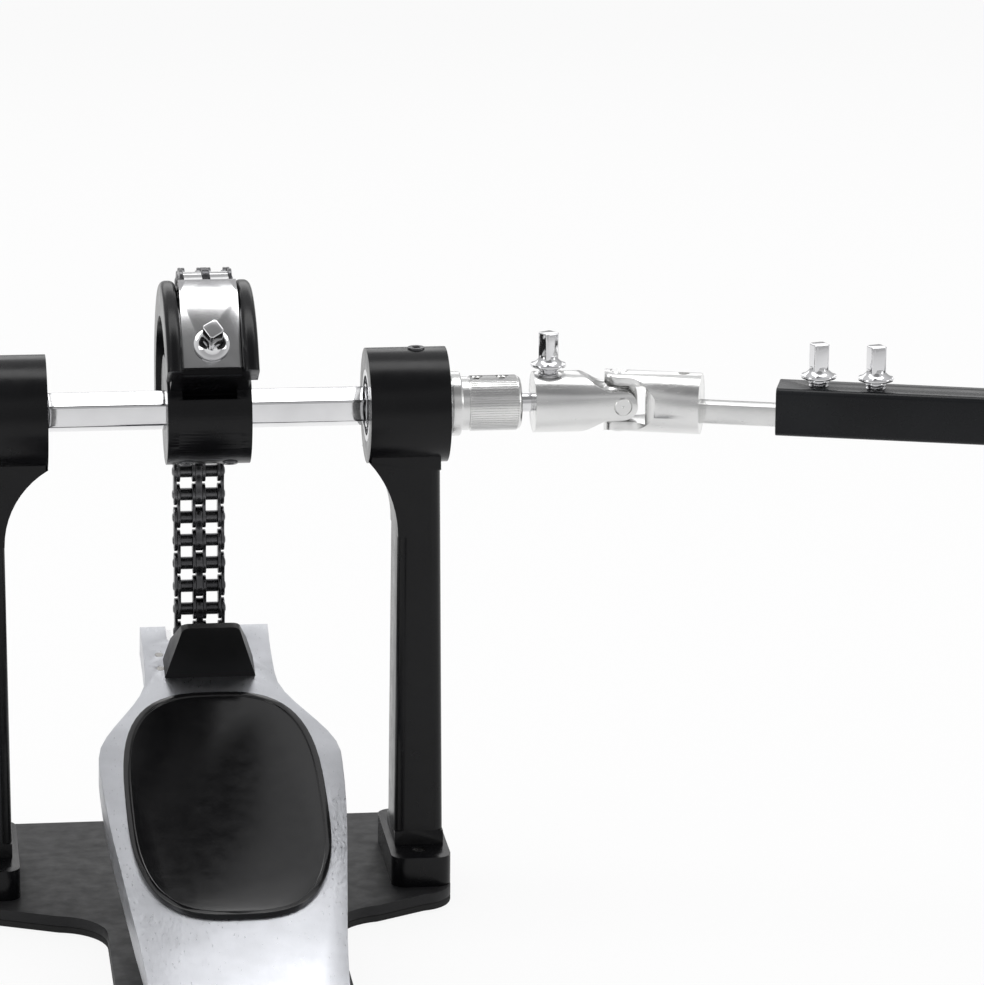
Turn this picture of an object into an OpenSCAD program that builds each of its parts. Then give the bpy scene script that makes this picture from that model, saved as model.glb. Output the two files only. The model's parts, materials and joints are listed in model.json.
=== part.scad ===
// Secondary bass drum pedal: frame, sprung axle with a double-chain cam, footboard and
// telescoping drive shaft. X runs along the axle, +Y points to the drum, Z is up.
// The origin is on the floor, under the middle of the axle.

/* [Frame] */
// Height of the axle above the floor
axle_h = 195; // [185:1:215]
// Gap between the inner faces of the two bearing bosses
boss_gap = 124; // [116:1:150]
// Outside diameter of a bearing boss
boss_d = 45; // [42:1:50]
// Length of the right bearing boss
right_boss_l = 31.2; // [28:0.2:40]
// Length of the left bearing boss
left_boss_l = 37.1; // [30:0.1:44]
// Width of a post
post_w = 16.5; // [14:0.5:22]
// Depth of a post from player to drum
post_t = 28; // [24:1:36]
// Thickness of the steel base plate
base_t = 4; // [3:0.5:6]
// Thickness of the rubber sheet under the base
pad_t = 3; // [2:0.5:4]

/* [Axle] */
// Width of the hexagonal axle across its flats
hex_af = 14; // [13:0.5:16]
// Diameter of the axle's round ends
journal_d = 12; // [10:0.5:12]
// Outside diameter of a bearing
bearing_d = 28; // [27:0.5:30]
// Width of a bearing
bearing_w = 8; // [7:0.5:9]
// Diameter of a bearing ball
ball_d = 5; // [4.5:0.1:5]

/* [Cam] */
// Outside diameter of the cam's hub
hub_d = 42.6; // [40:0.2:46]
// Length of the hub
hub_w = 32.4; // [28:0.2:34]
// Radius of the cam's rims
rim_r = 50; // [48:0.5:56]
// Overall width of the cam
cam_w = 35; // [34:0.5:42]
// Thickness of the chain clamp plate
clamp_t = 2.5; // [2:0.1:3]
// Length of the flat part of the clamp plate
clamp_l = 31.6; // [28:0.2:34]

/* [Chain] */
// Chain pitch
pitch = 9.525; // [9.525:0.001:9.53]
// Distance between the centres of the two strands
strand = 10.13; // [10.12:0.01:10.16]
// Length of a chain pin
chain_pin_l = 21.2; // [21:0.1:22]
// Number of hanging links
hang_n = 12; // [10:2:12]

/* [Footboard] */
// Length of the footboard from its hinge to the toe
board_l = 266; // [250:1:280]
// Greatest half width of the footboard
board_hw = 47; // [42:0.5:52]
// Half width of the toe
toe_hw = 25.8; // [24:0.2:30]
// Thickness of the footboard's sheet
board_t = 3; // [2.5:0.5:4]
// Depth of the footboard's side walls
wall_h = 13; // [10:0.5:15]
// Height of the toe stop
stop_h = 23; // [18:1:28]
// Diameter of the heel hinge pin
heel_pin_d = 6; // [5:0.5:7]

/* [Drive shaft] */
// Diameter of the stub shaft that leaves the collar
stub_d = 7.6; // [7:0.1:9]
// Diameter of the collar's knurled grip
grip_d = 21.6; // [20:0.2:24]
// Outside diameter of a universal joint yoke
yoke_d = 24; // [23:0.5:27]
// Gap between the ears of a yoke
ear_gap = 14.4; // [14:0.2:15]
// Width of a yoke ear
ear_w = 11.6; // [11:0.2:12.6]
// Diameter of a universal joint pin
cross_pin_d = 7; // [6:0.5:7]
// Sideways bend of the joint at rest, in degrees
bend = 16; // [10:1:18]
// Side of the square rod
rod_a = 8; // [7:0.5:9]
// Side of the square tube
tube_a = 19; // [18:0.5:22]
// Wall of the square tube
tube_wall = 2.4; // [2:0.1:2.8]
// Length of the square tube
tube_l = 200; // [160:5:240]
// Thread diameter of the key bolts
key_d = 8; // [7:0.5:8]

/* [Hidden] */
$fn = 64;
slip = 0.05;          // radial clearance of a running fit

// Stations along the axle
rb_in = boss_gap / 2;
rb_out = rb_in + right_boss_l;
lb_in = -rb_in;
lb_out = lb_in - left_boss_l;
boss_r = boss_d / 2;
post_inset = 3.4;
foot_flare = 2;
foot_l = 62;
foot_h = 12;
base_top = pad_t + base_t;
bore_r = journal_d / 2 + 1;
plug_r = 3.3;
collar_x = rb_out + 1.3;
flange_l = 4.2;
neck_end = collar_x + 7.7;
collar_end = collar_x + 27.8;
step_x = collar_x + 15.5;
stub_x0 = step_x + 0.5;
yoke_x = collar_end + 5.2;
yoke_l = 34;
cross_x = yoke_x + yoke_l;
stub_x1 = yoke_x + 15;
key_from_end = 6;
key_x = yoke_x + key_from_end;
rocker_x = lb_out - 1.4;
rocker_t = 6;
hanger_x = rocker_x - rocker_t - 0.6;
hanger_t = 3;
left_end = rocker_x - rocker_t;
hex_tilt = 3.5;
race_r = (bearing_d / 2 + journal_d / 2) / 2 + 0.1;

// Chain and cam
chain_r = rim_r + 0.6;
link_step = 2 * asin(pitch / 2 / chain_r);
free_n = 5;
plate_r = 4.3;
plate_t = 1.25;
inner_w = 4.77;
roller_r = 2.54;
chain_pin_r = 1.8;
floor_r = chain_r - plate_r - 0.7;
channel_w = 22.9;
cam_start = -14;
cam_end = 149;
flat_a = 138.6;
flat_r = rim_r - 8.5;
flat_low = 5;         // how far the clamp plate reaches below its nearest point to the axle
lip_l = 9.6;
lip_a = 17;           // slope of the clamp plate's lip
anchor_a = link_step * (free_n + 3);
clamp_w = 22.3;
clamp_bolt_s = -4.4;
rest_end = [chain_r, axle_h - hang_n * pitch];

// Footboard, in its own frame: u from the hinge to the toe, w up from the hinge
heel_y = -200;
heel_z = 14.5;
toe_y = 55;
slope = 16;
top_w = 3.6;
slot_hw = 13.5;
slot_d = 11.5;
rel = rest_end - [heel_y, heel_z];
end_u = rel[0] * cos(slope) + rel[1] * sin(slope);
end_w = -rel[0] * sin(slope) + rel[1] * cos(slope);
knuckle_r = heel_pin_d / 2 + 3;
knuckle_hw = 25;
neck_d = 37;
flare_d = 94;
board_x = 2;          // the board sits a little to the right of the chain
heel_hw = 36;
stop_u = board_l - 31;
stop_screws = [board_x - 7, board_x + 5];
pad_a = 75;
pad_b = 38.5;
pad_u = board_l - 52 - pad_a;
bracket_x = chain_pin_l / 2 + 0.6;
bracket_t = 2.5;
bracket_l = 22;
bracket_w = 9;        // width of the flange under the board

// Spring
pin_swing = 25.6;
pin_arm = 20;
pin_r = 3;
pin_y = -pin_arm * cos(pin_swing);
pin_z = axle_h - pin_arm * sin(pin_swing);
spring_y = -(pin_arm * cos(pin_swing) + pin_arm) / 2;
spring_x = hanger_x - hanger_t / 2;
hook_z = pin_z - 20;
eye_z = 98;
wire_r = 0.9;
coil_r = 6.2;
coil_n = 15;
lug_z = 60;
lug_t = 10;
rod_r = 3;

// Drive shaft, along its own axis from the cross centre
yoke_bottom = 11.6;
neck_start = 5;
neck_end_s = 17.9;
yoke_b_l = 32.5;
tube_s = 62.5;
rod_end = tube_s + 92;
rod_drop = tube_a / 2 - tube_wall - rod_a / 2 - 0.05;
far_s = tube_s + tube_l + 52;

// --- helpers ---
module along_x(x0, x1, r) translate([x0, 0, 0]) rotate([0, 90, 0]) cylinder(r = r, h = x1 - x0);
module at_axle() translate([0, 0, axle_h]) children();
module hex_x(x0, x1, af)
    translate([x0, 0, 0]) rotate([hex_tilt, 0, 0]) rotate([0, 90, 0])
        cylinder(r = af / 2 / cos(30), h = x1 - x0, $fn = 6);
function arc(c, r, a0, a1, n = 10) =
    [for (i = [0:n]) c + r * [cos(a0 + (a1 - a0) * i / n), sin(a0 + (a1 - a0) * i / n)]];
function smooth(t) = t <= 0 ? 0 : t >= 1 ? 1 : t * t * (3 - 2 * t);
module rounded_bar(x, y, h, r) linear_extrude(h) polygon(concat(
    arc([x / 2 - r, y / 2 - r], r, 0, 90), arc([r - x / 2, y / 2 - r], r, 90, 180),
    arc([r - x / 2, r - y / 2], r, 180, 270), arc([x / 2 - r, r - y / 2], r, 270, 360)));
// A drum-key bolt standing on z = 0: flared flange and square head above, thread below
bolt_flange_r = 7;
bolt_flange_t = 1.4;
bolt_flare_h = 3.2;
bolt_square = 6.4;
bolt_head_h = 12.6;
bolt_turn = 32;
module key_bolt(thread_l, shown = 3) {
    translate([0, 0, -thread_l]) cylinder(d = key_d - 0.1, h = thread_l + shown);
    translate([0, 0, shown]) cylinder(r1 = bolt_flange_r, r2 = bolt_flange_r - 0.4, h = bolt_flange_t);
    translate([0, 0, shown + bolt_flange_t]) cylinder(r1 = bolt_flange_r - 0.4, r2 = 3.6, h = bolt_flare_h);
    rotate(bolt_turn) intersection() {
        translate([-bolt_square / 2, -bolt_square / 2, shown + 1]) cube([bolt_square, bolt_square, bolt_head_h]);
        translate([0, 0, shown + 1]) cylinder(r1 = 2.5 * bolt_square, r2 = 3.9, h = bolt_head_h);
    }
}
module set_screw(r, l) difference() {
    cylinder(r = r, h = l);
    translate([0, 0, l - 2.5]) cylinder(r = r * 0.55, h = 3, $fn = 6);
}

// --- frame ---
base_front = 62;
base_tail = -284;
base_l = lb_out + 2;
base_r = rb_out;
tail_hw = 44;
foot_screw_r = 2.9;
foot_head_r = 5.2;
heel_screw_r = 2.5;
heel_head_r = 4.5;
module base_outline() polygon(concat(
    arc([base_r - 14, base_front - 14], 14, 90, 0), arc([base_r - 14, -26], 14, 0, -80),
    arc([tail_hw + 22, -72], 22, 100, 180), arc([tail_hw - 12, base_tail + 12], 12, 0, -90),
    arc([12 - tail_hw, base_tail + 12], 12, 270, 180), arc([-tail_hw - 22, -72], 22, 0, 80),
    arc([base_l + 14, -26], 14, 260, 180), arc([base_l + 14, base_front - 14], 14, 180, 90)));
module foot_holes(r, z0, h)
    for (x = [left_post_x, right_post_x], y = [-20, 20]) translate([x, y, z0]) cylinder(r = r, h = h);
left_post_x = lb_out + post_inset + post_w / 2;
right_post_x = rb_out - post_inset - post_w / 2;
module floor_pad() color("black") linear_extrude(pad_t) base_outline();
module base_plate() color("dimgray") difference() {
    translate([0, 0, pad_t]) linear_extrude(base_t) base_outline();
    foot_holes(foot_screw_r + 0.4, 0, 20);
    foot_holes(foot_head_r + 0.4, pad_t - 1, 3.2);
    heel_holes(heel_screw_r + slip, 0, 20);
}
// One post in its own frame: out = outward direction (+1 right, -1 left)
module post(out, inner, outer, run) color("black") {
    rise = 30;
    gusset_r = (rise * rise + run * run) / 2 / run;
    sweep = asin(rise / gusset_r);
    edge_o = outer - out * post_inset;
    edge_i = edge_o - out * post_w;
    z_boss = axle_h - boss_r + 3;
    difference() {
        union() {
            translate([0, post_t / 2, 0]) rotate([90, 0, 0]) linear_extrude(post_t) polygon(concat(
                [[edge_o + out * foot_flare, base_top], [edge_i - out * foot_flare / 2, base_top]],
                [for (p = arc([-gusset_r, 0], gusset_r, 0, sweep))
                    [edge_i + out * p[0], z_boss - rise + p[1]]],
                [[inner + out, z_boss], [inner + out, axle_h], [edge_o, axle_h]]));
            translate([0, 0, axle_h]) along_x(min(inner, outer), max(inner, outer), boss_r);
            translate([edge_o - out * post_w / 2, 0, base_top]) rounded_bar(post_w + 7, foot_l, foot_h, 6);
            if (out < 0) spring_lug();
        }
        translate([0, 0, axle_h]) along_x(min(inner, outer) - 1, max(inner, outer) + 1, bore_r);
        translate([0, 0, axle_h]) along_x(out > 0 ? inner - 1 : inner - bearing_w,
                                          out > 0 ? inner + bearing_w : inner + 1, bearing_d / 2);
        foot_holes(foot_screw_r + slip, 0, base_top + 14);
        translate([edge_o - out * post_w / 2, 0, axle_h + 10]) cylinder(r = plug_r, h = boss_r);
        if (out < 0) translate([spring_x, spring_y, lug_z - 1]) cylinder(r = rod_r + slip, h = lug_t + 2);
    }
}
lug_r = 8.5;
module spring_lug() {
    translate([spring_x, spring_y, lug_z]) cylinder(r = lug_r, h = lug_t);
    translate([spring_x, spring_y - lug_r, lug_z]) cube([left_post_x - spring_x, 2 * lug_r, lug_t]);
}
module left_post() post(-1, lb_in, lb_out, 17.2);
module right_post() post(1, rb_in, rb_out, 11.3);
module post_screws() color("silver") {
    foot_holes(foot_screw_r, pad_t + 0.3, base_top + 8);
    foot_holes(foot_head_r, pad_t, 1.9);
}
module boss_plugs() color("silver")
    for (x = [left_post_x, right_post_x]) translate([x, 0, axle_h + 15.5]) set_screw(plug_r, boss_r - 15);
module ring_profile(r0, r1) translate([r0, -bearing_w / 2]) square([r1 - r0, bearing_w]);
bearing_x = rb_in + bearing_w / 2;
module bearing_places()
    for (x = [-bearing_x, bearing_x]) translate([x, 0, axle_h]) rotate([0, 90, 0]) children();
module ring(r0, r1) rotate_extrude() difference() {
    ring_profile(r0, r1);
    translate([race_r, 0]) circle(r = ball_d / 2 + 0.1);
}
module bearing_outer_rings() color("silver") bearing_places() ring(race_r + 1.6, bearing_d / 2);
module bearing_inner_rings() color("silver") bearing_places() ring(journal_d / 2, race_r - 1.6);
module bearing_balls() color("white") bearing_places()
    for (i = [0:8]) rotate(i * 40) translate([race_r, 0, 0]) sphere(d = ball_d);

// --- axle and cam ---
module axle() color("silver") at_axle() {
    hex_x(-rb_in, rb_in, hex_af);
    along_x(left_end, step_x, journal_d / 2);
}
module polar(a, r) rotate([a, 0, 0]) translate([0, r, 0]) children();
module sector(a0, a1, r, x0, x1) rotate([90, 0, 90]) translate([0, 0, x0]) linear_extrude(x1 - x0)
    polygon(concat([[0, 0]], arc([0, 0], 2 * r, a0, a1, 6)));
module flat_cut(dist, w) rotate([flat_a, 0, 0]) translate([-w / 2, dist, -60]) cube([w, 60, 120]);
web_r = 36.5;         // inner radius of the cam's arc
web_start = 119;      // the arc joins the hub from this angle to its lower end
spoke_hw = 8;
module cam_rims() intersection() {
    difference() {
        along_x(-cam_w / 2, cam_w / 2, rim_r);
        along_x(-channel_w / 2, channel_w / 2, 2 * rim_r);
        along_x(-cam_w, cam_w, web_r);
    }
    sector(cam_start, cam_end, rim_r, -cam_w, cam_w);
}
module cam_floor() intersection() {
    difference() {
        along_x(-cam_w / 2 + 1, cam_w / 2 - 1, floor_r);
        along_x(-cam_w, cam_w, web_r);
        flat_cut(flat_r, clamp_w + 10);
    }
    sector(cam_start, cam_end - 1, rim_r, -cam_w, cam_w);
}
// The block under the clamp plate, and a slim spoke behind the hub
module cam_web() {
    intersection() {
        difference() {
            along_x(-hub_w / 2 + 1, hub_w / 2 - 1, floor_r);
            flat_cut(flat_r, clamp_w + 10);
        }
        sector(web_start, cam_end - 2, rim_r, -cam_w, cam_w);
    }
    intersection() {
        along_x(-spoke_hw, spoke_hw, floor_r - 1);
        sector(cam_start + 2, cam_start + 20, rim_r, -cam_w, cam_w);
    }
}
set_screw_x = 8.4;
set_screw_a = 180 + 65;
module cam() color("black") at_axle() difference() {
    union() {
        along_x(-hub_w / 2, hub_w / 2, hub_d / 2);
        cam_rims();
        cam_floor();
        cam_web();
    }
    hex_x(-cam_w, cam_w, hex_af + 0.04);
    along_x(-cam_w, cam_w, hex_af / 2 / cos(30) - 0.9);
    polar(flat_a, flat_r - 20) translate([0, 0, clamp_bolt_s]) rotate([-90, 0, 0]) cylinder(d = key_d, h = 30);
    polar(180 - 40, hub_d / 2 - 6) translate([-10.5, 0, 1]) cube([21, 12, 12]);
    for (x = [-set_screw_x, set_screw_x])
        polar(set_screw_a, 5) translate([x, 0, 0]) rotate([-90, 0, 0]) cylinder(r = 3, h = 30);
}
module hub_set_screws() color("silver") at_axle()
    for (x = [-set_screw_x, set_screw_x])
        polar(set_screw_a, hex_af / 2 + 0.5) translate([x, 0, 0]) rotate([-90, 0, 0])
            set_screw(3, hub_d / 2 - hex_af / 2);
anchor_p = chain_r * [cos(anchor_a), sin(anchor_a)];
knuckle_w = inner_w + 2 * plate_t - 0.2;
flat_n = [cos(flat_a), sin(flat_a)];
flat_t = [sin(flat_a), -cos(flat_a)];
lip_start = flat_r * flat_n + (clamp_l - flat_low) * flat_t;
lip_d = [cos(lip_a), sin(lip_a)];
lip_end = lip_start + lip_l * lip_d;
lip_up = clamp_t * [-sin(lip_a), cos(lip_a)];
module clamp_plate() color("silver") at_axle() difference() {
    union() {
        rotate([90, 0, 90]) translate([0, 0, -clamp_w / 2]) linear_extrude(clamp_w) polygon([
            flat_r * flat_n - flat_low * flat_t, (flat_r + clamp_t) * flat_n - flat_low * flat_t,
            lip_start + clamp_t * flat_n, lip_end + lip_up, lip_end, lip_start]);
        for (x0 = [-strand / 2, strand / 2]) {
            rotate([90, 0, 90]) translate([0, 0, x0 - knuckle_w / 2]) linear_extrude(knuckle_w)
                polygon([lip_end - 1.5 * lip_d, lip_end + lip_up - 1.5 * lip_d,
                    anchor_p + [-1, 2.6], anchor_p + [0.5, -2.4]]);
            translate([x0, anchor_p[0], anchor_p[1]]) along_x(-knuckle_w / 2, knuckle_w / 2, 3.2);
        }
    }
    translate([0, anchor_p[0], anchor_p[1]]) along_x(-cam_w, cam_w, chain_pin_r + slip);
    polar(flat_a, flat_r - 20) translate([0, 0, clamp_bolt_s]) rotate([-90, 0, 0])
        cylinder(d = key_d + 0.4, h = 40);
}
module clamp_bolt() color("silver") at_axle()
    polar(flat_a, flat_r + clamp_t) translate([0, 0, clamp_bolt_s]) rotate([-90, 0, 0]) key_bolt(12, 0);

// --- chain: a link lies from its first pin at the origin to its second at -Z ---
module plate(x0, x1) {
    along_x(x0, x1, plate_r);
    translate([0, 0, -pitch]) along_x(x0, x1, plate_r);
    translate([x0, -plate_r, -pitch]) cube([x1 - x0, 2 * plate_r, pitch]);
}
in0 = inner_w / 2;
in1 = in0 + plate_t;
module pin_link() {
    for (z = [0, -pitch]) translate([0, 0, z]) along_x(-chain_pin_l / 2, chain_pin_l / 2, chain_pin_r);
    for (s = [-1, 1]) {
        o = s * (strand / 2 + in1 + 0.1 + plate_t / 2);
        plate(o - plate_t / 2, o + plate_t / 2);
    }
    plate(-(strand / 2 - in1 - 0.1), strand / 2 - in1 - 0.1);
}
module roller_link() for (c = [-strand / 2, strand / 2]) translate([c, 0, 0]) difference() {
    union() {
        plate(-in1, -in0);
        plate(in0, in1);
        for (z = [0, -pitch]) translate([0, 0, z]) along_x(-in1, in1, roller_r);
    }
    for (z = [0, -pitch]) translate([0, 0, z]) along_x(-in1 - 1, in1 + 1, chain_pin_r + slip);
}
// Places a link whose first pin is k steps up the wrapped part of the chain
module wrapped(k) at_axle() rotate([k * link_step, 0, 0]) translate([0, chain_r, 0])
    rotate([-link_step / 2, 0, 0]) children();
module chain_anchor_links() color("dimgray") {
    for (k = [free_n + 1, free_n + 3]) wrapped(k) pin_link();
    wrapped(free_n + 2) roller_link();
}
module chain_link_1() color("dimgray") wrapped(5) roller_link();
module chain_link_2() color("dimgray") wrapped(4) pin_link();
module chain_link_3() color("dimgray") wrapped(3) roller_link();
module chain_link_4() color("dimgray") wrapped(2) pin_link();
module chain_link_5() color("dimgray") wrapped(1) roller_link();
module chain_run() color("dimgray") for (i = [0:hang_n - 1])
    translate([0, chain_r, axle_h - i * pitch]) if (i % 2 == 0) pin_link(); else roller_link();
module chain_end_bolt() color("silver") translate([0, rest_end[0], rest_end[1]])
    along_x(-bracket_x - bracket_t - 1.5, bracket_x + bracket_t + 1.5, chain_pin_r);

// --- footboard ---
module on_board() translate([0, heel_y, heel_z]) rotate([slope, 0, 0]) children();
function half_w(u) = u > board_l - neck_d
    ? toe_hw - 0.3 * sin(180 * (board_l - u) / neck_d)
    : u > board_l - flare_d
    ? toe_hw + (board_hw - toe_hw) * smooth((board_l - neck_d - u) / (flare_d - neck_d))
    : heel_hw + (board_hw - heel_hw) * smooth(u / (board_l - flare_d));
board_start = knuckle_r + 2;
board_stations = [for (i = [0:36]) board_start + (board_l - board_start) * i / 36];
function side(inset) = [for (u = board_stations) [half_w(u) - inset, u]];
module board_shape(inset = 0) translate([board_x, 0]) polygon(concat(
    side(inset), [for (i = [len(board_stations) - 1:-1:0]) [-side(inset)[i][0], board_stations[i]]]));
module slot_shape() {
    translate([-slot_hw, board_l - slot_d + 3]) square([2 * slot_hw, slot_d]);
    translate([3 - slot_hw, board_l - slot_d]) square([2 * slot_hw - 6, slot_d]);
    for (s = [-1, 1]) translate([s * (slot_hw - 3), board_l - slot_d + 3]) circle(r = 3);
}
wall_t = 2.6;
module footboard() color("silver") on_board() difference() {
    union() {
        translate([0, 0, top_w - board_t]) linear_extrude(board_t) difference() {
            board_shape();
            slot_shape();
        }
        intersection() {
            translate([0, 0, top_w - wall_h]) linear_extrude(wall_h - 0.5) difference() {
                board_shape();
                board_shape(wall_t);
            }
            translate([60, 0, 0]) rotate([0, -90, 0]) linear_extrude(120) polygon([
                [top_w, board_start], [top_w, board_l], [top_w - wall_h, board_l], [top_w - wall_h, 60],
                [top_w - 6.5, 14], [top_w - 6.5, board_start]]);
        }
        along_x(-knuckle_hw, knuckle_hw, knuckle_r);
        translate([-knuckle_hw, 0, top_w - board_t]) cube([2 * knuckle_hw, board_start + 1, board_t]);
    }
    along_x(-60, 60, heel_pin_d / 2 + slip);
    for (x = stop_screws) translate([x, stop_u, -10]) cylinder(r = 2.1, h = 20);
    for (x = [-1, 1], u = [0, 1]) translate([x * rivet_x, end_u - 14 - 10 * u, -10]) cylinder(r = 1.6, h = 20);
}
rivet_x = bracket_x + bracket_t + 3.6;
function oval(a, b) = [for (i = [0:59]) let (c = cos(i * 6), s = sin(i * 6))
    [b * sign(c) * pow(abs(c), pad_blunt), a * sign(s) * pow(abs(s), pad_blunt)]];
pad_blunt = 2 / 3;    // 1 is an ellipse, less is blunter
module foot_pad() color("black") on_board() translate([board_x, pad_u, top_w]) difference() {
    linear_extrude(2.2) polygon(oval(pad_a, pad_b));
    translate([0, 0, 1.6]) linear_extrude(2) polygon(oval(pad_a - 2.5, pad_b - 2.5));
}
module toe_stop() color("black") on_board() difference() {
    translate([board_x, stop_u + 7, top_w]) rotate([90, 0, 0]) linear_extrude(14) polygon(concat(
        [[-18, 0], [18, 0]], arc([8.5, stop_h - 3.5], 3.5, 10, 90), arc([-8.5, stop_h - 3.5], 3.5, 90, 170)));
    for (x = stop_screws) translate([x, stop_u, top_w - 1]) cylinder(r = 1.9, h = 11);
}
module toe_stop_screws() color("silver") on_board() for (x = stop_screws) translate([x, stop_u, 0]) {
    translate([0, 0, top_w - board_t - 2.2]) cylinder(r = 3.6, h = 2.2);
    translate([0, 0, top_w - board_t - 0.2]) cylinder(r = 1.85, h = board_t + 9);
}
// Two cheeks with slots that the chain's end bolt moves in, and flanges riveted under the board
module chain_bracket() color("silver") on_board() for (s = [-1, 1]) difference() {
    union() {
        translate([s * (bracket_x + bracket_t / 2) - bracket_t / 2, end_u - bracket_l - 6, end_w - 5.5])
            cube([bracket_t, bracket_l + 12 + 3, top_w - board_t - end_w + 5.5]);
        translate([s > 0 ? bracket_x : -bracket_x - bracket_w, end_u - bracket_l - 6, top_w - board_t - bracket_t])
            cube([bracket_w, bracket_l, bracket_t]);
    }
    translate([s * (bracket_x + bracket_t / 2) - 5, end_u, end_w]) {
        translate([0, -0.3, 0]) along_x(0, 10, chain_pin_r + 0.4);
        translate([0, 4.6, 0.1]) along_x(0, 10, chain_pin_r + 0.4);
        translate([0, -0.3, -chain_pin_r - 0.4]) cube([10, 4.9, 2 * chain_pin_r + 0.8]);
    }
    for (u = [0, 1]) translate([s * rivet_x, end_u - 14 - 10 * u, -30]) cylinder(r = 1.6, h = 40);
}
module bracket_rivets() color("silver") on_board()
    for (s = [-1, 1], u = [0, 1]) translate([s * rivet_x, end_u - 14 - 10 * u, 0]) {
        translate([0, 0, top_w - board_t - bracket_t - 1.4]) cylinder(r = 2.8, h = 1.4);
        translate([0, 0, top_w - board_t - bracket_t - 0.2]) cylinder(r = 1.58, h = board_t + bracket_t + 0.2);
    }

// --- heel ---
heel_l = 66;
heel_top = heel_z + 7.5;
heel_edge = heel_y - knuckle_r - 2;
heel_half = 40;
module heel_holes(r, z0, h)
    for (x = [-28, 28], y = [-18, -50]) translate([x, heel_edge + y, z0]) cylinder(r = r, h = h);
module heel_plate() color("silver") difference() {
    union() {
        translate([0, heel_edge - heel_l / 2, base_top]) rounded_bar(2 * heel_half, heel_l, heel_top - base_top, 9);
        for (s = [-1, 1]) {
            translate([s * (knuckle_hw + 6.5) - 6, heel_edge - 12, base_top])
                cube([12, 14 + knuckle_r, heel_z - base_top]);
            translate([s * (knuckle_hw + 6.5), heel_y, heel_z]) along_x(-6, 6, knuckle_r);
            translate([s * (knuckle_hw + 6.5) - 6, heel_edge - 5, heel_z - 1]) cube([12, 2 + 6 + 2, knuckle_r]);
        }
    }
    translate([0, heel_edge - heel_l / 2, base_top - 1]) rounded_bar(2 * heel_half - 8, heel_l - 8, 8.5, 6);
    translate([0, heel_edge - heel_l / 2, heel_top - 1.5]) rounded_bar(44, heel_l - 20, 3, 8);
    translate([0, heel_y, heel_z]) along_x(-60, 60, heel_pin_d / 2 + slip);
    heel_holes(heel_screw_r + 0.2, 0, 40);
    heel_holes(heel_head_r + 0.3, heel_top - 2.6, 10);
}
module heel_insert() color("black") translate([0, heel_edge - heel_l / 2, heel_top - 1.5])
    rounded_bar(43.8, heel_l - 20.2, 2.6, 7.9);
module heel_screws() color("silver") {
    heel_holes(heel_screw_r, pad_t + 0.5, heel_top - pad_t - 1.5);
    heel_holes(heel_head_r, heel_top - 2.6, 2.4);
}
module heel_pin() color("silver") translate([0, heel_y, heel_z]) {
    along_x(-knuckle_hw - 13, knuckle_hw + 13, heel_pin_d / 2);
    along_x(-knuckle_hw - 14.6, -knuckle_hw - 12.6, heel_pin_d / 2 + 1.6);
}

// --- spring ---
rocker_r = 12;
rocker_eye_r = 7;
module spring_rocker() color("black") at_axle() difference() {
    lean = acos((rocker_r - rocker_eye_r) / pin_arm);
    translate([rocker_x - rocker_t, 0, 0]) rotate([90, 0, 90]) linear_extrude(rocker_t)
        rotate(180 + pin_swing) polygon(concat(arc([0, 0], rocker_r, lean, 360 - lean, 30),
            arc([pin_arm, 0], rocker_eye_r, -lean, lean, 20)));
    along_x(rocker_x - 20, rocker_x + 5, journal_d / 2);
    translate([0, pin_y, pin_z - axle_h]) along_x(rocker_x - 20, rocker_x + 5, pin_r);
    translate([rocker_x - rocker_t / 2, 0, 0]) cylinder(r = 2, h = 20);
}
module rocker_pin() color("silver") translate([0, pin_y, pin_z]) {
    along_x(hanger_x - hanger_t - 0.6, rocker_x - 0.2, pin_r);
    along_x(hanger_x - hanger_t - 2.4, hanger_x - hanger_t - 0.6, pin_r + 1.6);
}
module rocker_screw() color("silver") translate([rocker_x - rocker_t / 2, 0, axle_h + journal_d / 2]) set_screw(2, 6.2);
module spring_hanger() color("silver") translate([hanger_x - hanger_t, spring_y, 0]) difference() {
    union() {
        translate([0, 0, pin_z]) along_x(0, hanger_t, 7.5);
        translate([0, 0, hook_z + 1]) along_x(0, hanger_t, 5.3);
        translate([0, -5.2, hook_z + 1]) cube([hanger_t, 10.4, pin_z - hook_z - 1]);
    }
    for (y = [-1, 1]) translate([-1, y * 1.15, pin_z]) along_x(0, hanger_t + 2, pin_r + 0.25);
    translate([-1, -1.15, pin_z - pin_r - 0.25]) cube([hanger_t + 2, 2.3, 2 * pin_r + 0.5]);
    translate([-1, 0, hook_z]) along_x(0, hanger_t + 2, 2.6);
}
// Wire swept along points, turned so that each ring stays square to the wire
function unit(v) = v / norm(v);
function tangent(p, i) = unit(p[min(i + 1, len(p) - 1)] - p[max(i - 1, 0)]);
function frames(p) = [for (i = 0, t = tangent(p, 0), n = unit(cross(t, [0.3, 0.9, 0.2])); i < len(p);
    i = i + 1, t = i < len(p) ? tangent(p, i) : t, n = unit(n - (n * t) * t)) [t, n]];
module wire(p, r, sides = 6) {
    f = frames(p);
    pts = [for (i = [0:len(p) - 1], k = [0:sides - 1])
        p[i] + r * (cos(360 * k / sides) * f[i][1] + sin(360 * k / sides) * cross(f[i][0], f[i][1]))];
    n = len(p);
    polyhedron(pts, concat([[for (k = [0:sides - 1]) k]],
        [for (i = [0:n - 2], k = [0:sides - 1]) [i * sides + k, (i + 1) * sides + k,
            (i + 1) * sides + (k + 1) % sides]],
        [for (i = [0:n - 2], k = [0:sides - 1]) [i * sides + k,
            (i + 1) * sides + (k + 1) % sides, i * sides + (k + 1) % sides]],
        [[for (k = [sides - 1:-1:0]) (n - 1) * sides + k]]));
}
hook_r = 3.6;
coil_z0 = eye_z + 3.2;
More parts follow.
